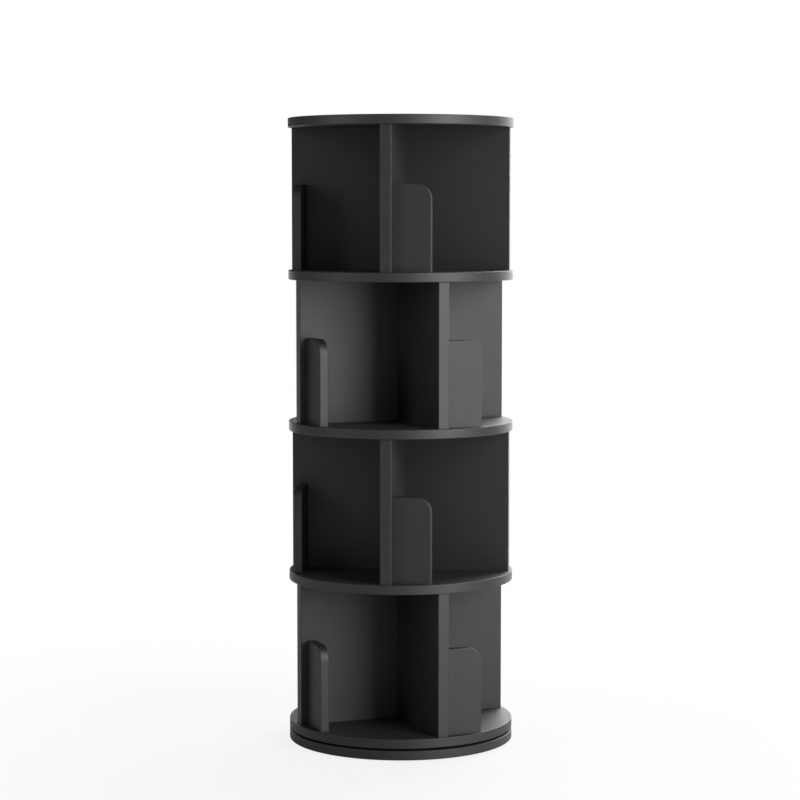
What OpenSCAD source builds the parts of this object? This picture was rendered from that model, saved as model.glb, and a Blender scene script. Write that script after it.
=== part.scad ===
// Revolving bookcase: a round tower of four book tiers that turns on a ball bearing in its base.
// Millimetres, +Z up. The origin is on the floor under the turning axis, and the front looks to -Y.
// Every second tier stands turned, so the screws of two tiers never meet in the board between them.

/* [Boards] */
// Diameter of the round boards over their edge bands
board_d = 460; // [420:5:560]
// Thickness of the shelves and the top board
board_t = 19; // [16:1:25]
// Clear height of a tier between two boards
clear_h = 289; // [240:1:340]
// Turn of the first and third tier against the other two, in degrees
stagger_deg = 30; // [25:1:45]

/* [Dividers] */
// Thickness of a divider
divider_t = 23; // [20:1:30]
// Distance from the boards' rim in to the outer end of a divider
divider_setback = 6; // [3:1:15]

/* [Stops] */
// Thickness of a stop
stop_t = 18; // [15:1:22]
// Length of a stop from the divider's face to its free end
stop_l = 77; // [60:1:95]
// Height of a stop
stop_h = 173; // [120:1:200]
// Radius of a stop's free top corner
stop_corner_r = 30; // [10:1:45]
// Distance from a divider's outer end in to the face of its stop
stop_setback = 14; // [8:1:25]

/* [Edge bands] */
// Thickness of the plastic edge band
band_t = 2; // [1.6:0.1:3]
// Radius of the band's two rounded arrises
arris_r = 1.5; // [0.5:0.1:1.5]
// Glue line between a band and its board
glue_gap = 0.1; // [0.05:0.05:0.2]

/* [Base] */
// Thickness of the base board
base_t = 19; // [16:1:25]
// Gap between the base board and the turning tower
swivel_gap = 4; // [3:0.5:6]
// Diameter of a foot pad
foot_d = 30; // [20:1:40]
// Height of a foot pad
foot_h = 3; // [2:0.5:6]
// Number of foot pads
foot_count = 6; // [4:1:8]
// Distance from the base's rim in to the middle of a foot pad
foot_setback = 35; // [25:1:50]

/* [Turntable bearing] */
// Radius of the circle on which the balls run
race_r = 105; // [90:1:120]
// Diameter of a bearing ball
ball_d = 4.76; // [4:0.01:5]
// Number of balls
ball_count = 30; // [18:1:36]
// Play between a ball and its race
race_play = 0.2; // [0.1:0.05:0.3]
// Play between a ball and its pocket in the cage
pocket_play = 0.25; // [0.1:0.05:0.4]
// Radial gap between the two rings
race_gap = 3; // [2.6:0.1:3.4]
// Thickness of the wall that holds a race
race_wall_t = 3.5; // [3:0.1:5]
// Width of a ring's screw flange
flange_w = 14.5; // [13:0.5:18]
// Thickness of a ring's screw flange
flange_t = 3; // [2.5:0.1:3.5]
// Clearance between a ring and the board that it runs past
ring_clearance = 1; // [0.6:0.1:1.2]
// Radial thickness of the ball cage
cage_t = 1.4; // [1:0.1:1.8]
// Height of the ball cage
cage_h = 7.4; // [6.6:0.1:7.6]
// Depth of the pocket routed for the bearing in the base and in the bottom shelf
pocket_depth = 2.5; // [2.2:0.1:4]
// Room round the bearing in its pocket
pocket_room = 1; // [0.5:0.1:3]
// Diameter of the hole in the base through which a driver reaches the upper ring's screws
access_d = 12; // [9:1:14]
// Screws in each ring
ring_screw_count = 4; // [3:1:8]
// Shank diameter of a ring screw
ring_screw_d = 4; // [3:0.1:4.5]
// Head diameter of a ring screw
ring_head_d = 7.5; // [6.5:0.1:8.5]
// Height of a ring screw's conical head
ring_head_h = 2; // [1.5:0.1:2.3]
// Length of a ring screw over its head
ring_screw_l = 13; // [9:1:15]

/* [Screws and caps] */
// Shank diameter of a panel screw
screw_d = 6.4; // [5:0.1:7]
// Length of a panel screw over its head
screw_l = 50; // [40:1:60]
// Head diameter of a panel screw
head_d = 10; // [9:0.1:11]
// Height of a panel screw's conical head
head_h = 3.5; // [2.5:0.1:4.5]
// Width across the corners of the hexagon socket in the head
socket_d = 4.6; // [3.5:0.1:5]
// Depth of the hexagon socket
socket_depth = 2.6; // [2:0.1:3]
// Diameter of the flush cap over a head
cap_d = 12; // [11.6:0.1:14]
// Thickness of the cap
cap_t = 2.5; // [2:0.1:3]
// Distance from a divider's outer end in to its screw
screw_setback = 39; // [30:1:50]
// Distance from a divider's face along a stop to the stop's screw
stop_screw_at = 54; // [45:1:58]

/* [Dowels] */
// Diameter of a dowel
dowel_d = 8; // [6:0.5:8]
// Length of a dowel
dowel_l = 30; // [26:1:35]
// Depth that a dowel enters a round board
dowel_seat = 10; // [8:0.5:12]
// Chamfer at both ends of a dowel
dowel_chamfer = 1; // [0.5:0.1:1.5]
// Distance from a divider's screw in to its dowel
dowel_pitch = 55; // [40:1:60]
// Distance from a divider's face along a stop to the dowel in its foot
stop_dowel_at = 20; // [16:1:26]
// Height above the tier's floor of the dowel between a stop and its divider
side_dowel_z = 100; // [70:1:110]
// Length of the dowels that join the half dividers through the wide one
cross_dowel_l = 65; // [55:1:80]
// Distance of the cross dowels from the tier's floor and from its ceiling
cross_dowel_z = 72; // [40:1:100]
// Play round a screw, dowel or cap in its hole
fit_play = 0.1; // [0.05:0.05:0.2]
// Room past the end of a screw or dowel in its hole
end_room = 0.5; // [0.2:0.1:1]

/* [Hidden] */
$fn = 96;
hexagon = 6;
cut = 1;
quarter = 90;

BOARDS = ["bottom_shelf", "lower_shelf", "middle_shelf", "upper_shelf", "top_board"];
ARMS = ["right", "back", "left", "front"];
top = len(BOARDS) - 1;
TIERS = [1:top];

laminate = [0.10, 0.10, 0.11];
band_black = [0.13, 0.13, 0.14];
zinc = [0.72, 0.72, 0.70];
beech = [0.80, 0.64, 0.44];

rim_r = board_d / 2;
core_r = rim_r - band_t - glue_gap;
arm_r = rim_r - divider_setback;
panel_end = arm_r - band_t - glue_gap;
half_t = divider_t / 2;
stop_mid = arm_r - stop_setback - stop_t / 2;
stop_inset = band_t + glue_gap;
screw_r = arm_r - screw_setback;
dowel_r = screw_r - dowel_pitch;

base_top = foot_h + base_t;
tower_bottom = base_top + swivel_gap;
pocket_floor = base_top - pocket_depth;
pocket_roof = tower_bottom + pocket_depth;
bearing_h = pocket_roof - pocket_floor;
race_z = (pocket_floor + pocket_roof) / 2;
flange_reach = race_gap / 2 + race_wall_t + flange_w;
flange_mid = flange_reach - flange_w / 2;
pocket_r = race_r + flange_reach + pocket_room;

function tier_node(t, piece) = str("tier_", t, "_", piece);
// Underside of a round board, counted from 0 at the bottom
function board_z(i) = tower_bottom + i * (clear_h + board_t);
// Floor of a tier, counted from 1 at the bottom
function floor_z(t) = board_z(t - 1) + board_t;
function tier_turn(t) = t % 2 == 1 ? stagger_deg : 0;

// Places: a tier's frame has its floor at zero and its first arm along +X

module in_tier(t) {
    translate([0, 0, floor_z(t)]) rotate(tier_turn(t)) children();
}

module on_arm(a) {
    rotate(quarter * a) children();
}

module on_all_arms() {
    for (a = [0:len(ARMS) - 1]) on_arm(a) children();
}

// Each place has its zero at the outer face of the board, with +Z into the wood
module floor_screw_places() {
    translate([screw_r, 0, -board_t]) children();
    translate([stop_mid, half_t + stop_screw_at, -board_t]) children();
}

module ceiling_screw_places() {
    translate([screw_r, 0, clear_h + board_t]) rotate([180, 0, 0]) children();
}

// Each place has its zero at the joint face, with +Z into the upright panel
module floor_dowel_places() {
    translate([dowel_r, 0, 0]) children();
    translate([stop_mid, half_t + stop_dowel_at, 0]) children();
}

module ceiling_dowel_places() {
    translate([dowel_r, 0, clear_h]) rotate([180, 0, 0]) children();
}

module side_dowel_places() {
    translate([stop_mid, half_t, side_dowel_z]) rotate([-90, 0, 0]) children();
}

module cross_dowel_places() {
    for (z = [cross_dowel_z, clear_h - cross_dowel_z]) translate([0, 0, z]) rotate([-90, 0, 0]) children();
}

module board_screw_places(i) {
    if (i < top) in_tier(i + 1) on_all_arms() floor_screw_places() children();
    if (i > 0) in_tier(i) on_all_arms() ceiling_screw_places() children();
}

module ring_screw_places(side) {
    for (k = [0:ring_screw_count - 1])
        rotate(k * 360 / ring_screw_count) translate([race_r + side * flange_mid, 0, 0]) children();
}

module lower_ring_screw_places() {
    translate([0, 0, pocket_floor + flange_t]) ring_screw_places(1) rotate([180, 0, 0]) children();
}

module upper_ring_screw_places() {
    translate([0, 0, pocket_roof - flange_t]) ring_screw_places(-1) children();
}

// Fasteners and their bores

module panel_screw() {
    translate([0, 0, cap_t]) difference() {
        union() {
            cylinder(d1 = head_d, d2 = screw_d, h = head_h);
            translate([0, 0, head_h]) cylinder(d = screw_d, h = screw_l - head_h - screw_d / 2);
            translate([0, 0, screw_l - screw_d / 2]) cylinder(d1 = screw_d, d2 = screw_d / 2, h = screw_d / 2);
        }
        translate([0, 0, -cut]) cylinder(d = socket_d, h = socket_depth + cut, $fn = hexagon);
    }
}

module panel_screw_bore() {
    translate([0, 0, -cut]) cylinder(d = cap_d + 2 * fit_play, h = cap_t + cut);
    translate([0, 0, cap_t]) {
        cylinder(d1 = head_d + 2 * fit_play, d2 = screw_d + 2 * fit_play, h = head_h);
        cylinder(d = screw_d + 2 * fit_play, h = screw_l + end_room);
    }
}

module screw_cap() {
    cylinder(d = cap_d, h = cap_t);
    cylinder(d = socket_d - 2 * fit_play, h = cap_t + socket_depth - end_room, $fn = hexagon);
}

module dowel(length, seat) {
    r = dowel_d / 2;
    half = [[0, 0], [r - dowel_chamfer, 0], [r, dowel_chamfer], [r, length / 2], [0, length / 2]];
    translate([0, 0, length / 2 - seat]) for (flip = [0, 1])
        mirror([0, 0, flip]) translate([0, 0, -length / 2]) rotate_extrude() polygon(half);
}

module dowel_bore(length, seat) {
    translate([0, 0, -seat - end_room]) cylinder(d = dowel_d + 2 * fit_play, h = length + 2 * end_room);
}

module ring_screw(play = 0, room = 0) {
    cylinder(d1 = ring_head_d + 2 * play, d2 = ring_screw_d + 2 * play, h = ring_head_h);
    cylinder(d = ring_screw_d + 2 * play, h = ring_screw_l + room);
}

// Edge bands

// What the rounding of a corner takes away, placed by the centre of its arc
module corner_waste(radius) {
    difference() {
        square(radius + cut);
        circle(r = radius);
    }
}

// Section of a band: its glued face on the Y axis, its outer face towards +X, both outer arrises round
module band_section(width) {
    difference() {
        translate([0, -width / 2]) square([band_t, width]);
        for (side = [0, 1]) mirror([0, side])
            translate([band_t - arris_r, width / 2 - arris_r]) corner_waste(arris_r);
    }
}

module rim_band(height) {
    rotate_extrude() translate([rim_r - band_t, height / 2]) band_section(height);
}

// A straight run of stop band from the origin towards -Y, with its outer face towards +X
module stop_band_run(length) {
    rotate([90, 0, 0]) linear_extrude(length) band_section(stop_t);
}

// Turntable bearing

// Section of a ring about the ball's centre: a race wall and a screw flange at the foot
module ring_section() {
    difference() {
        translate([race_gap / 2, -bearing_h / 2]) union() {
            square([race_wall_t, bearing_h - ring_clearance]);
            square([race_wall_t + flange_w, flange_t]);
        }
        circle(d = ball_d + 2 * race_play);
    }
}

module swivel_lower_ring() {
    color("silver") difference() {
        rotate_extrude() translate([race_r, race_z]) ring_section();
        lower_ring_screw_places() ring_screw(fit_play, end_room);
    }
}

module swivel_upper_ring() {
    color("silver") difference() {
        rotate_extrude() translate([race_r, race_z]) rotate(180) ring_section();
        upper_ring_screw_places() ring_screw(fit_play, end_room);
    }
}

module lower_ring_screws() {
    color(zinc) lower_ring_screw_places() ring_screw();
}

module upper_ring_screws() {
    color(zinc) upper_ring_screw_places() ring_screw();
}

module on_each_ball() {
    for (k = [0:ball_count - 1]) rotate(k * 360 / ball_count) translate([race_r, 0, race_z]) children();
}

module ball_cage() {
    pocket_d = ball_d + 2 * pocket_play;
    color("ivory") difference() {
        translate([0, 0, race_z - cage_h / 2]) difference() {
            cylinder(r = race_r + cage_t / 2, h = cage_h);
            translate([0, 0, -cut]) cylinder(r = race_r - cage_t / 2, h = cage_h + 2 * cut);
        }
        on_each_ball() rotate([0, 90, 0]) cylinder(d = pocket_d, h = 2 * cage_t, center = true);
    }
}

module bearing_balls() {
    color("gainsboro") on_each_ball() sphere(d = ball_d);
}

// Base

module base_board() {
    color(laminate) difference() {
        translate([0, 0, foot_h]) cylinder(r = core_r, h = base_t);
        translate([0, 0, pocket_floor]) cylinder(r = pocket_r, h = pocket_depth + cut);
        translate([race_r - flange_mid, 0, foot_h - cut]) cylinder(d = access_d, h = base_t + 2 * cut);
        lower_ring_screw_places() ring_screw(fit_play, end_room);
    }
}

module base_edge_band() {
    color(band_black) translate([0, 0, foot_h]) rim_band(base_t);
}

module foot_pads() {
    color("dimgray") for (k = [0:foot_count - 1])
        rotate(k * 360 / foot_count) translate([rim_r - foot_setback, 0, 0]) cylinder(d = foot_d, h = foot_h);
}

// Round boards

module round_board(i) {
    color(laminate) difference() {
        translate([0, 0, board_z(i)]) cylinder(r = core_r, h = board_t);
        board_screw_places(i) panel_screw_bore();
        if (i < top) in_tier(i + 1) on_all_arms() floor_dowel_places() dowel_bore(dowel_l, dowel_seat);
        if (i > 0) in_tier(i) on_all_arms() ceiling_dowel_places() dowel_bore(dowel_l, dowel_seat);
        if (i == 0) {
            translate([0, 0, tower_bottom - cut]) cylinder(r = pocket_r, h = pocket_depth + cut);
            upper_ring_screw_places() ring_screw(fit_play, end_room);
        }
    }
}

module board_screws(i) {
    color(zinc) board_screw_places(i) panel_screw();
}

module screw_caps() {
    color(band_black) for (i = [1:top]) board_screw_places(i) screw_cap();
}

module shelf_edge_bands() {
    color(band_black) for (i = [0:top]) translate([0, 0, board_z(i)]) rim_band(board_t);
}

// Dividers

module arm_bores() {
    floor_screw_places() panel_screw_bore();
    ceiling_screw_places() panel_screw_bore();
    floor_dowel_places() dowel_bore(dowel_l, dowel_seat);
    ceiling_dowel_places() dowel_bore(dowel_l, dowel_seat);
    side_dowel_places() dowel_bore(dowel_l, dowel_l / 2);
}

module cross_bores() {
    cross_dowel_places() dowel_bore(cross_dowel_l, cross_dowel_l / 2);
}

module wide_divider(t) {
    color(laminate) in_tier(t) difference() {
        translate([-panel_end, -half_t, 0]) cube([2 * panel_end, divider_t, clear_h]);
        for (a = [0, 2]) on_arm(a) arm_bores();
        cross_bores();
    }
}

module half_divider(t, a) {
    color(laminate) in_tier(t) difference() {
        on_arm(a) difference() {
            translate([half_t, -half_t, 0]) cube([panel_end - half_t, divider_t, clear_h]);
            arm_bores();
        }
        cross_bores();
    }
}

module divider_edge_bands() {
    color(band_black) for (t = TIERS) in_tier(t) on_all_arms()
        translate([arm_r - band_t, 0, 0]) linear_extrude(clear_h) band_section(divider_t);
}

// Stops: a stop's own sheet lies in XY, with X along its length and Y up, and Z through its thickness

module as_stop() {
    translate([stop_mid, half_t, 0]) rotate([90, 0, 90]) children();
}

module stop_outline() {
    length = stop_l - stop_inset;
    height = stop_h - stop_inset;
    radius = stop_corner_r - stop_inset;
    difference() {
        square([length, height]);
        translate([length - radius, height - radius]) corner_waste(radius);
    }
}

module stop(t, a) {
    color(laminate) in_tier(t) on_arm(a) difference() {
        as_stop() linear_extrude(stop_t, center = true) stop_outline();
        arm_bores();
    }
}

module stop_edge_bands() {
    color(band_black) for (t = TIERS) in_tier(t) on_all_arms() as_stop() {
        translate([stop_l - band_t, stop_h - stop_corner_r, 0]) stop_band_run(stop_h - stop_corner_r);
        translate([stop_l - stop_corner_r, stop_h - stop_corner_r, 0]) rotate_extrude(angle = quarter)
            translate([stop_corner_r - band_t, 0]) band_section(stop_t);
        translate([0, stop_h - band_t, 0]) rotate(quarter) stop_band_run(stop_l - stop_corner_r);
    }
}

// Dowels of one tier

module tier_dowels(t) {
    color(beech) in_tier(t) {
        on_all_arms() {
            floor_dowel_places() dowel(dowel_l, dowel_seat);
            ceiling_dowel_places() dowel(dowel_l, dowel_seat);
            side_dowel_places() dowel(dowel_l, dowel_l / 2);
        }
        cross_dowel_places() dowel(cross_dowel_l, cross_dowel_l / 2);
    }
}

base_board();
base_edge_band();
foot_pads();
swivel_lower_ring();
lower_ring_screws();
ball_cage();
bearing_balls();
swivel_upper_ring();
upper_ring_screws();
for (i = [0:top]) {
    round_board(i);
    board_screws(i);
}
for (t = TIERS) {
    wide_divider(t);
    half_divider(t, 1);
    half_divider(t, 3);
    tier_dowels(t);
    for (a = [0:len(ARMS) - 1])
        stop(t, a);
}
shelf_edge_bands();
divider_edge_bands();
stop_edge_bands();
screw_caps();
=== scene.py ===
import math

import bmesh
import bpy
from mathutils import Matrix, Vector


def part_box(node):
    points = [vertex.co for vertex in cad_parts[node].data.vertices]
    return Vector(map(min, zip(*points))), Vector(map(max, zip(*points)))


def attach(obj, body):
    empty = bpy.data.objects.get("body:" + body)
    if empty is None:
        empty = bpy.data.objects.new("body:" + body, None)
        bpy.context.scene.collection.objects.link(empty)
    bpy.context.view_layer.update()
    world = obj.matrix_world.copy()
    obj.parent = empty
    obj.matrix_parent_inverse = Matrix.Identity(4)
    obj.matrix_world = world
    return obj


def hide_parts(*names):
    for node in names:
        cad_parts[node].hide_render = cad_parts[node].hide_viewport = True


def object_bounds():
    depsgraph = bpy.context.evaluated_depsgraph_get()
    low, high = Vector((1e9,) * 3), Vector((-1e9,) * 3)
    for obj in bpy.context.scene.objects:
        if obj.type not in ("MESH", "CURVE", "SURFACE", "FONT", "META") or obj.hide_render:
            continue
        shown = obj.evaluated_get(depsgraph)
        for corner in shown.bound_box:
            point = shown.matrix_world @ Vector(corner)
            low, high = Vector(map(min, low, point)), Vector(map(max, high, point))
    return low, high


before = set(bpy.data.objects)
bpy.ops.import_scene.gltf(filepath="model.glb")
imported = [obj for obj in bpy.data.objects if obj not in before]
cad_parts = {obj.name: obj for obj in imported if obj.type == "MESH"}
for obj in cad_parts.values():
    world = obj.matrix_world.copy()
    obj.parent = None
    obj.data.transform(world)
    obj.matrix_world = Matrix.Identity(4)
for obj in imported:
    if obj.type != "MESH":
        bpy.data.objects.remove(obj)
cad_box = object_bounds()


# Base board: a round particle board faced on both sides with black melamine paper, pressed against
# a pearl-textured plate. It stands still on the floor and carries the bearing in a routed pocket.

class Channel:
    """One output of a shader node. Sums and products of channels add Math nodes to the tree."""

    def __init__(self, tree, socket=None):
        self.tree = tree
        self.socket = socket

    def feed(self, socket, value):
        """Links a channel to a socket, or sets the socket's own value."""
        if isinstance(value, Channel):
            self.tree.links.new(value.socket, socket)
        else:
            socket.default_value = value

    def node(self, kind, settings, sockets, output=0):
        """Adds a node: its settings first, then the values and links of its sockets."""
        added = self.tree.nodes.new(kind)
        for name, value in settings.items():
            setattr(added, name, value)
        for name, value in sockets.items():
            self.feed(added.inputs[name], value)
        return Channel(self.tree, added.outputs[output])

    def maths(self, operation, first, second):
        """Adds a Math node."""
        return self.node("ShaderNodeMath", {"operation": operation}, {0: first, 1: second})

    def __add__(self, other):
        return self.maths("ADD", self, other)

    def __sub__(self, other):
        return self.maths("SUBTRACT", self, other)

    def __rsub__(self, other):
        return self.maths("SUBTRACT", other, self)

    def __mul__(self, other):
        return self.maths("MULTIPLY", self, other)

    __radd__ = __add__
    __rmul__ = __mul__


def start_finish(name, constants):
    """A new material, its shader with the constant sockets set, and its Object coordinates."""
    material = bpy.data.materials.new(name)
    material.use_nodes = True
    tree = material.node_tree
    shader = tree.nodes["Principled BSDF"]
    for socket, value in constants.items():
        shader.inputs[socket].default_value = value
    place = Channel(tree).node("ShaderNodeTexCoord", {}, {}, "Object")
    return material, shader, place


def noise(place, cell, octaves):
    """Noise from 0 to 1 whose lumps are about one cell wide, in metres."""
    return place.node("ShaderNodeTexNoise", {}, {"Vector": place, "Scale": 1 / cell, "Detail": octaves})


def tint(share, dark, light):
    """A colour between two others."""
    sockets = {MIX_SHARE: share, MIX_FIRST: (*dark, 1.0), MIX_SECOND: (*light, 1.0)}
    return share.node("ShaderNodeMix", {"data_type": "RGBA"}, sockets, MIX_COLOUR)


def between(share, first, second):
    """A number between two others."""
    return first + (second - first) * share


def relief(height, depth):
    """The shading normal of a surface whose height map is depth metres from low to high."""
    return height.node("ShaderNodeBump", {}, {"Height": height, "Distance": depth})


def dress(node, material):
    """Gives a CAD node its finish."""
    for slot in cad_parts[node].material_slots:
        slot.material = material


# A Mix node names its sockets for numbers, vectors and colours alike, so these go by their index.
MIX_SHARE = 0
MIX_FIRST = 6
MIX_SECOND = 7
MIX_COLOUR = 2

LAMINATE_DARK = (0.003, 0.003, 0.003)
LAMINATE_LIGHT = (0.008, 0.008, 0.008)
LAMINATE_ROUGHNESS = (0.56, 0.60)
LAMINATE_SPECULAR = 0.6
PEARL_CELL = 0.0012
PEARL_OCTAVES = 2.0
PEARL_DEPTH = 0.00004
CLOUD_CELL = 0.09
CLOUD_OCTAVES = 4.0

laminate, shader, place = start_finish("black_laminate", {"Specular IOR Level": LAMINATE_SPECULAR})
pearl = noise(place, PEARL_CELL, PEARL_OCTAVES)
cloud = noise(place, CLOUD_CELL, CLOUD_OCTAVES)
black = tint(0.5 * pearl + 0.5 * cloud, LAMINATE_DARK, LAMINATE_LIGHT)
place.feed(shader.inputs["Base Color"], black)
place.feed(shader.inputs["Roughness"], between(cloud, *LAMINATE_ROUGHNESS))
place.feed(shader.inputs["Normal"], relief(pearl, PEARL_DEPTH))
dress("base_board", laminate)


# Base edge band: a 2 mm strip of black plastic, extruded, glued hot round the rim and scraped to round
# arrises. It is a little smoother than the boards, with faint draw lines along its length.

BAND_DARK = (0.005, 0.005, 0.005)
BAND_LIGHT = (0.011, 0.011, 0.011)
BAND_ROUGHNESS = (0.53, 0.57)
BAND_SPECULAR = 0.6
BAND_CELL = 0.0009
BAND_OCTAVES = 2.0
BAND_DEPTH = 0.00002
DRAW_CELL = 0.0007
DRAW_STRETCH = (0.02, 0.02, 1.0)

band, shader, place = start_finish("black_edge_band", {"Specular IOR Level": BAND_SPECULAR})
skin = noise(place, BAND_CELL, BAND_OCTAVES)
stretched = place.node("ShaderNodeMapping", {}, {"Vector": place, "Scale": DRAW_STRETCH})
draw_lines = noise(stretched, DRAW_CELL, BAND_OCTAVES)
cloud = noise(place, CLOUD_CELL, CLOUD_OCTAVES)
black = tint(0.5 * skin + 0.5 * draw_lines, BAND_DARK, BAND_LIGHT)
place.feed(shader.inputs["Base Color"], black)
place.feed(shader.inputs["Roughness"], between(cloud, *BAND_ROUGHNESS))
place.feed(shader.inputs["Normal"], relief(skin + draw_lines, BAND_DEPTH))
dress("base_edge_band", band)


# Foot pads: six discs of dense black foam rubber, punched from sheet and glued under the base board.
# The punch leaves a soft lower edge, and the cut cells of the foam show as fine pits.

def solids_of(node):
    """Lowest and highest corner of each separate solid in a CAD node."""
    shape = bmesh.new()
    shape.from_mesh(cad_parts[node].data)
    bmesh.ops.remove_doubles(shape, verts=shape.verts, dist=WELD)
    waiting = set(shape.verts)
    boxes = []
    while waiting:
        solid = [waiting.pop()]
        for vert in solid:
            joined = {edge.other_vert(vert) for edge in vert.link_edges} & waiting
            waiting -= joined
            solid.extend(joined)
        axes = list(zip(*(vert.co for vert in solid)))
        boxes.append((tuple(map(min, axes)), tuple(map(max, axes))))
    shape.free()
    return [(Vector(low), Vector(high)) for low, high in sorted(boxes)]


def pull(shape, face, height):
    """Extrudes a face along Z and returns the new face. The old face stays."""
    grown = bmesh.ops.extrude_face_region(shape, geom=[face])["geom"]
    verts = [item for item in grown if isinstance(item, bmesh.types.BMVert)]
    bmesh.ops.translate(shape, verts=verts, vec=(0, 0, height))
    return next(item for item in grown if isinstance(item, bmesh.types.BMFace))


def add_disc(shape, radius, height, sides):
    """Adds a closed disc that stands on the origin, and returns its foot and its head."""
    lower = bmesh.ops.create_circle(shape, cap_ends=True, radius=radius, segments=sides)["verts"]
    foot = lower[0].link_faces[0]
    return foot, pull(shape, foot, height)


def stamp(pattern, places):
    """A new shape with a copy of a pattern at each place. The pattern is used up."""
    mesh = bpy.data.meshes.new("pattern")
    pattern.to_mesh(mesh)
    pattern.free()
    shape = bmesh.new()
    for place in places:
        shape.from_mesh(mesh)
        copied = list(shape.verts)[-len(mesh.vertices):]
        bmesh.ops.transform(shape, matrix=place, verts=copied)
    bpy.data.meshes.remove(mesh)
    return shape


def soften(shape, edges, radius):
    """Rounds edges."""
    bmesh.ops.bevel(
        shape,
        geom=edges,
        offset=radius,
        affect="EDGES",
        segments=EDGE_STEPS,
        profile=0.5,
        material=-1,
    )


def add_piece(name, shape, material, body):
    """Makes a finished bmesh a piece of the model that rides on a body."""
    bmesh.ops.recalc_face_normals(shape, faces=shape.faces)
    mesh = bpy.data.meshes.new(name)
    shape.to_mesh(mesh)
    shape.free()
    mesh.materials.append(material)
    mesh.shade_smooth()
    mesh.set_sharp_from_angle(angle=SHARP_ANGLE)
    piece = bpy.data.objects.new(name, mesh)
    bpy.context.scene.collection.objects.link(piece)
    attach(piece, body)
    return piece


WELD = 1e-6
EDGE_STEPS = 3
SHARP_ANGLE = math.radians(35)
PAD_SIDES = 64
PAD_EDGE_R = 0.0008
FOAM_DARK = (0.018, 0.018, 0.019)
FOAM_LIGHT = (0.06, 0.06, 0.061)
FOAM_ROUGHNESS = (0.95, 0.80)
FOAM_SPECULAR = 0.3
FOAM_CELL = 0.0006
FOAM_OCTAVES = 3.0
FOAM_DEPTH = 0.0002

foam, shader, place = start_finish("foam_rubber", {"Specular IOR Level": FOAM_SPECULAR})
pits = noise(place, FOAM_CELL, FOAM_OCTAVES)
place.feed(shader.inputs["Base Color"], tint(pits, FOAM_DARK, FOAM_LIGHT))
place.feed(shader.inputs["Roughness"], between(pits, *FOAM_ROUGHNESS))
place.feed(shader.inputs["Normal"], relief(pits, FOAM_DEPTH))

pad_boxes = solids_of("foot_pads")
pad_size = pad_boxes[0][1] - pad_boxes[0][0]
pad_places = []
for low, high in pad_boxes:
    pad_places.append(Matrix.Translation(((low.x + high.x) / 2, (low.y + high.y) / 2, low.z)))
pad = bmesh.new()
foot, head = add_disc(pad, pad_size.x / 2, pad_size.z, PAD_SIDES)
soften(pad, list(foot.edges), PAD_EDGE_R)
pads = add_piece("foam_foot_pads", stamp(pad, pad_places), foam, "base")
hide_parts("foot_pads")


# Turntable bearing: two turned aluminium rings with a ball race between them. The lower ring is
# screwed into the base board's pocket, the upper one to the bottom shelf. Turning marks run round both.

RING_DARK = (0.56, 0.56, 0.58)
RING_LIGHT = (0.72, 0.72, 0.74)
RING_ROUGHNESS = (0.28, 0.43)
TURN_CELL = 0.0004
TURN_OCTAVES = 2.0
TURN_DEPTH = 0.00001
ACROSS_AXIS = (1.0, 1.0, 0.0)

ring_metal, shader, place = start_finish("turned_aluminium", {"Metallic": 1.0})
flat = place.node("ShaderNodeVectorMath", {"operation": "MULTIPLY"}, {0: place, 1: ACROSS_AXIS})
radius = place.node("ShaderNodeVectorMath", {"operation": "LENGTH"}, {0: flat}, "Value")
along = place.node("ShaderNodeCombineXYZ", {}, {"X": radius})
marks = noise(along, TURN_CELL, TURN_OCTAVES)
place.feed(shader.inputs["Base Color"], tint(marks, RING_DARK, RING_LIGHT))
place.feed(shader.inputs["Roughness"], between(marks, *RING_ROUGHNESS))
place.feed(shader.inputs["Normal"], relief(marks, TURN_DEPTH))
dress("swivel_lower_ring", ring_metal)
dress("swivel_upper_ring", ring_metal)


# Ring screws, panel screws and balls: the screws are zinc-plated steel with the faint yellow of the
# plating, driven through the rings and boards. The balls are hardened steel, ground and polished.

BOARDS = ("bottom_shelf", "lower_shelf", "middle_shelf", "upper_shelf", "top_board")
ZINC_DARK = (0.50, 0.49, 0.45)
ZINC_LIGHT = (0.68, 0.68, 0.66)
ZINC_ROUGHNESS = (0.3, 0.5)
BALL_DARK = (0.62, 0.62, 0.63)
BALL_LIGHT = (0.72, 0.72, 0.73)
BALL_ROUGHNESS = (0.06, 0.14)
STEEL_CELL = 0.0015
STEEL_OCTAVES = 3.0

zinc, shader, place = start_finish("zinc_plated_steel", {"Metallic": 1.0})
bloom = noise(place, STEEL_CELL, STEEL_OCTAVES)
place.feed(shader.inputs["Base Color"], tint(bloom, ZINC_DARK, ZINC_LIGHT))
place.feed(shader.inputs["Roughness"], between(bloom, *ZINC_ROUGHNESS))
for owner in ("lower_ring", "upper_ring", *BOARDS):
    dress(f"{owner}_screws", zinc)

polish, shader, place = start_finish("polished_steel", {"Metallic": 1.0})
haze = noise(place, STEEL_CELL, STEEL_OCTAVES)
place.feed(shader.inputs["Base Color"], tint(haze, BALL_DARK, BALL_LIGHT))
place.feed(shader.inputs["Roughness"], between(haze, *BALL_ROUGHNESS))
dress("bearing_balls", polish)


# Ball cage: a thin ring of natural nylon with a pocket for each ball. It lies loose between the two
# rings and is carried round by the balls. The cream colour varies a little, as the melt flowed.

NYLON_DARK = (0.70, 0.67, 0.58)
NYLON_LIGHT = (0.80, 0.78, 0.70)
NYLON_ROUGHNESS = (0.40, 0.55)
NYLON_SPECULAR = 0.5
NYLON_CELL = 0.004
NYLON_OCTAVES = 3.0

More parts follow.
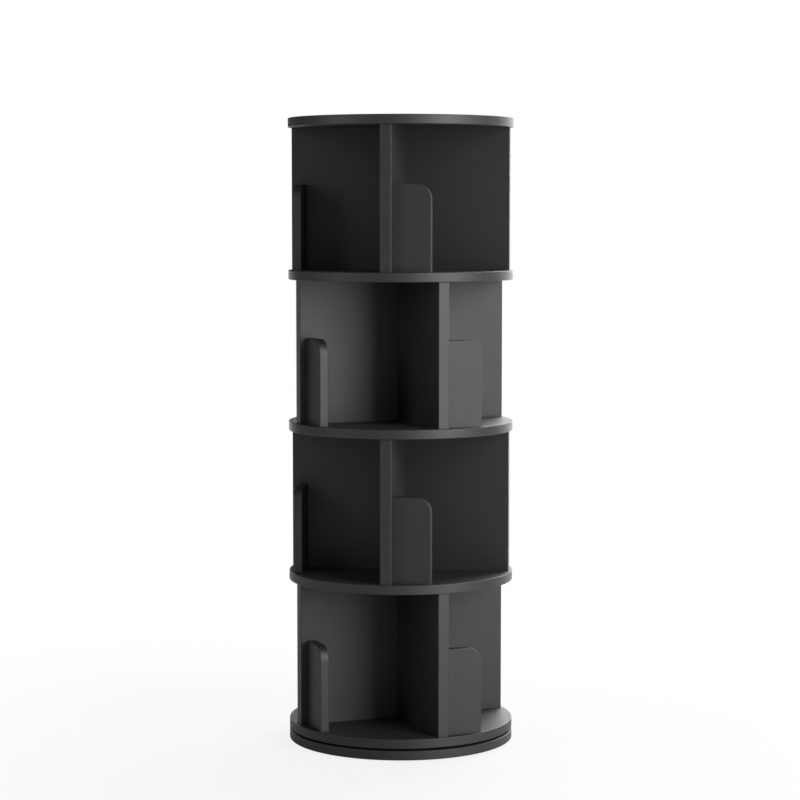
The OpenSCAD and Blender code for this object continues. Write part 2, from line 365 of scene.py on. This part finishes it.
nylon, shader, place = start_finish("natural_nylon", {"Specular IOR Level": NYLON_SPECULAR})
flow = noise(place, NYLON_CELL, NYLON_OCTAVES)
place.feed(shader.inputs["Base Color"], tint(flow, NYLON_DARK, NYLON_LIGHT))
place.feed(shader.inputs["Roughness"], between(flow, *NYLON_ROUGHNESS))
dress("ball_cage", nylon)


# Round boards: the four shelves and the top board, of the same faced particle board as the base.
# Each is drilled for the dowels and screws of the tiers above and below it.

for board in BOARDS:
    dress(board, laminate)


# Dividers and stops: in each tier one wide and two half dividers make a cross, and a low stop with one
# round corner stands off each arm. All are faced particle board on dowels and screws.

TIERS = range(1, len(BOARDS))

for tier in TIERS:
    for panel in ("wide_divider", "back_divider", "front_divider"):
        dress(f"tier_{tier}_{panel}", laminate)
    for arm in ("right", "back", "left", "front"):
        dress(f"tier_{tier}_stop_{arm}", laminate)


# Dowels: turned beech pegs, glued into the boards, dividers and stops. They are left raw, with the
# grain in fine lines of light and dark brown.

BEECH_DARK = (0.42, 0.27, 0.15)
BEECH_LIGHT = (0.62, 0.44, 0.27)
BEECH_ROUGHNESS = (0.55, 0.75)
BEECH_SPECULAR = 0.4
GRAIN_CELL = 0.0012
GRAIN_OCTAVES = 4.0
GRAIN_STRETCH = (1.0, 1.0, 0.08)
GRAIN_DEPTH = 0.00005

beech, shader, place = start_finish("beech", {"Specular IOR Level": BEECH_SPECULAR})
stretched = place.node("ShaderNodeMapping", {}, {"Vector": place, "Scale": GRAIN_STRETCH})
grain = noise(stretched, GRAIN_CELL, GRAIN_OCTAVES)
place.feed(shader.inputs["Base Color"], tint(grain, BEECH_DARK, BEECH_LIGHT))
place.feed(shader.inputs["Roughness"], between(grain, *BEECH_ROUGHNESS))
place.feed(shader.inputs["Normal"], relief(grain, GRAIN_DEPTH))
for tier in TIERS:
    dress(f"tier_{tier}_dowels", beech)


# Edge bands of the tower: the same plastic strip as on the base, round the boards' rims, on the
# dividers' outer ends and bent over the free end and the top of each stop.

for edge in ("shelf", "divider", "stop"):
    dress(f"{edge}_edge_bands", band)


# Screw caps: black moulded covers, pressed with a peg into the screws' sockets and flush with the
# board. Each has a rounded rim and a shallow dish in its face, as the mould leaves it.

CAP_R = 0.006
CAP_T = 0.0025
CAP_SIDES = 48
CAP_EDGE_R = 0.0005
CAP_RIM_W = 0.0013
CAP_DISH = 0.0004
PEG_R = 0.0018
PEG_L = 0.002
FLUSH = 0.0001
CAP_ROUGHNESS = (0.46, 0.54)
CAP_SPECULAR = 0.5

cap_plastic, shader, place = start_finish("cap_plastic", {"Specular IOR Level": CAP_SPECULAR})
skin = noise(place, BAND_CELL, BAND_OCTAVES)
place.feed(shader.inputs["Base Color"], tint(skin, BAND_DARK, BAND_LIGHT))
place.feed(shader.inputs["Roughness"], between(skin, *CAP_ROUGHNESS))
place.feed(shader.inputs["Normal"], relief(skin, BAND_DEPTH))

cap = bmesh.new()
foot, head = add_disc(cap, CAP_R, CAP_T, CAP_SIDES)
bmesh.ops.inset_region(cap, faces=[foot], thickness=CAP_R - PEG_R)
pull(cap, foot, -PEG_L)
bmesh.ops.delete(cap, geom=[foot], context="FACES_ONLY")
bmesh.ops.inset_region(cap, faces=[head], thickness=CAP_RIM_W)
bmesh.ops.translate(cap, verts=head.verts, vec=(0, 0, -CAP_DISH))
upper = [vert for vert in cap.verts if vert.co.z > CAP_T - FLUSH]
rim = {vert for vert in upper if vert.co.xy.length > CAP_R - FLUSH}
soften(cap, [edge for edge in cap.edges if rim.issuperset(edge.verts)], CAP_EDGE_R)
bmesh.ops.translate(cap, verts=cap.verts, vec=(0, 0, -CAP_T))

board_tops = [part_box(board)[1].z for board in BOARDS]
cap_places = []
for low, high in solids_of("screw_caps"):
    x, y = (low.x + high.x) / 2, (low.y + high.y) / 2
    if min(abs(high.z - top) for top in board_tops) < FLUSH:
        cap_places.append(Matrix.Translation((x, y, high.z)))
    else:
        cap_places.append(Matrix.Translation((x, y, low.z)) @ Matrix.Rotation(math.pi, 4, "X"))
caps = add_piece("dished_screw_caps", stamp(cap, cap_places), cap_plastic, "tower")
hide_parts("screw_caps")


# Camera: it stands a little to the right of the front, far back and below the top board, and looks
# slightly down. The lens is long, so the uprights run nearly parallel.

VIEW_TURN = math.radians(7.628)
VIEW_PAN = math.radians(0.018)
VIEW_TILT = math.radians(4.628)
VIEW_DISTANCE = 4.7742
VIEW_HEIGHT = 1.0881
VIEW_LENS = 104.83
SENSOR = 36.0

lens = bpy.data.cameras.new("camera")
lens.sensor_width = SENSOR
lens.lens = VIEW_LENS
camera = bpy.data.objects.new("camera", lens)
camera.location = (
    VIEW_DISTANCE * math.sin(VIEW_TURN),
    -VIEW_DISTANCE * math.cos(VIEW_TURN),
    VIEW_HEIGHT,
)
camera.rotation_euler = (math.pi / 2 - VIEW_TILT, 0, VIEW_TURN + VIEW_PAN)
bpy.context.scene.collection.objects.link(camera)
bpy.context.scene.camera = camera
bpy.context.scene.view_settings.view_transform = "Standard"


# Soft lights: a tall one from the front right, a low and a high one from behind on the right, and
# two weak ones on the left, in front and behind. Each is a rectangle that the camera doesn't see.

def add_softbox(name, turn, height, width, tall, radiance):
    """A soft area light that looks at the middle of the object, placed by its turn from the camera."""
    light = bpy.data.lights.new(name, "AREA")
    light.shape = "RECTANGLE"
    light.size = width
    light.size_y = tall
    light.energy = radiance * math.pi * width * tall
    lamp = bpy.data.objects.new(name, light)
    angle = VIEW_TURN + math.radians(turn)
    lamp.location = (LAMP_DISTANCE * math.sin(angle), -LAMP_DISTANCE * math.cos(angle), height)
    middle = (cad_box[0] + cad_box[1]) / 2
    lamp.rotation_euler = (middle - lamp.location).to_track_quat("-Z", "Y").to_euler()
    lamp.visible_camera = False
    bpy.context.scene.collection.objects.link(lamp)


LAMP_DISTANCE = 2.5

add_softbox("key_softbox", turn=45.5, height=1.25, width=1.1, tall=2.2, radiance=9.0)
add_softbox("back_softbox", turn=155, height=1.2, width=2.4, tall=2.3, radiance=4.7)
add_softbox("fill_softbox", turn=-60, height=1.6, width=0.8, tall=1.6, radiance=4.0)
add_softbox("high_softbox", turn=145, height=3.1, width=2.0, tall=1.6, radiance=10.0)
add_softbox("left_softbox", turn=-155, height=0.6, width=0.9, tall=0.9, radiance=4.0)


# Room: white for the camera. In reflections it is white on the right and dim on the left, and on
# surfaces without gloss it sheds a low, even light.

def ray_kinds(channel):
    """1 or 0 for a ray from the camera, one in a reflection and one that went through glass."""
    kinds = ("Is Camera Ray", "Is Glossy Ray", "Is Transmission Ray")
    return [channel.node("ShaderNodeLightPath", {}, {}, kind) for kind in kinds]


def ramp(value, start, end, low, high):
    """Goes smoothly from low to high while a value goes from start to end."""
    sockets = {"Value": value, "From Min": start, "From Max": end, "To Min": low, "To Max": high}
    return value.node("ShaderNodeMapRange", {"interpolation_type": "SMOOTHSTEP"}, sockets)


WHITE = (1.0, 1.0, 1.0, 1.0)
ROOM_LEFT = -0.2
ROOM_RIGHT = 0.6
ROOM_DIM = 0.12
ROOM_WHITE = 1.0
ROOM_AMBIENT = 0.3

world = bpy.data.worlds.new("studio")
bpy.context.scene.world = world
world.use_nodes = True
room = Channel(world.node_tree)
direction = room.node("ShaderNodeTexCoord", {}, {}, "Generated")
right_side = (math.cos(VIEW_TURN), math.sin(VIEW_TURN), 0.0)
sockets = {0: direction, 1: right_side}
rightness = room.node("ShaderNodeVectorMath", {"operation": "DOT_PRODUCT"}, sockets, "Value")
level = ramp(rightness, ROOM_LEFT, ROOM_RIGHT, ROOM_DIM, ROOM_WHITE)
to_camera, in_gloss, through = ray_kinds(room)
seen = to_camera + through
strength = seen + in_gloss * level + (1 - seen - in_gloss) * ROOM_AMBIENT
backdrop = world.node_tree.nodes["Background"]
backdrop.inputs["Color"].default_value = WHITE
room.feed(backdrop.inputs["Strength"], strength)


# Floor: a plain pale disc, which fades into the white of the room and keeps the object's shadow.
# It is the studio's, and no part of the object.

FLOOR_R = 14.0
FLOOR_SIDES = 128
FLOOR_NEAR = 0.3
FLOOR_FAR = 1.6
FLOOR_PALE = (0.48, 0.48, 0.48, 1.0)
FLOOR_ROUGHNESS = 0.9
GLOW_NEAR = 0.84
GLOW_FAR = 1.0
GLOSS_NEAR = 0.0
GLOSS_FAR = 0.35

floor_shape = bmesh.new()
bmesh.ops.create_circle(floor_shape, cap_ends=True, radius=FLOOR_R, segments=FLOOR_SIDES)
floor_mesh = bpy.data.meshes.new("floor")
floor_shape.to_mesh(floor_mesh)
floor_shape.free()
floor = bpy.data.objects.new("floor", floor_mesh)
bpy.context.scene.collection.objects.link(floor)

constants = {"Base Color": FLOOR_PALE, "Roughness": FLOOR_ROUGHNESS}
pale, shader, place = start_finish("pale_floor", constants)
radius = place.node("ShaderNodeVectorMath", {"operation": "LENGTH"}, {0: place}, "Value")
to_camera, in_gloss, through = ray_kinds(place)
lit = (to_camera + through) * ramp(radius, FLOOR_NEAR, FLOOR_FAR, GLOW_NEAR, GLOW_FAR)
mirrored = in_gloss * ramp(radius, FLOOR_NEAR, FLOOR_FAR, GLOSS_NEAR, GLOSS_FAR)
glow = place.node("ShaderNodeEmission", {}, {"Color": WHITE, "Strength": 1.0})
matt = Channel(pale.node_tree, shader.outputs[0])
surface = place.node("ShaderNodeMixShader", {}, {"Fac": lit + mirrored, 1: matt, 2: glow})
place.feed(pale.node_tree.nodes["Material Output"].inputs["Surface"], surface)
floor_mesh.materials.append(pale)
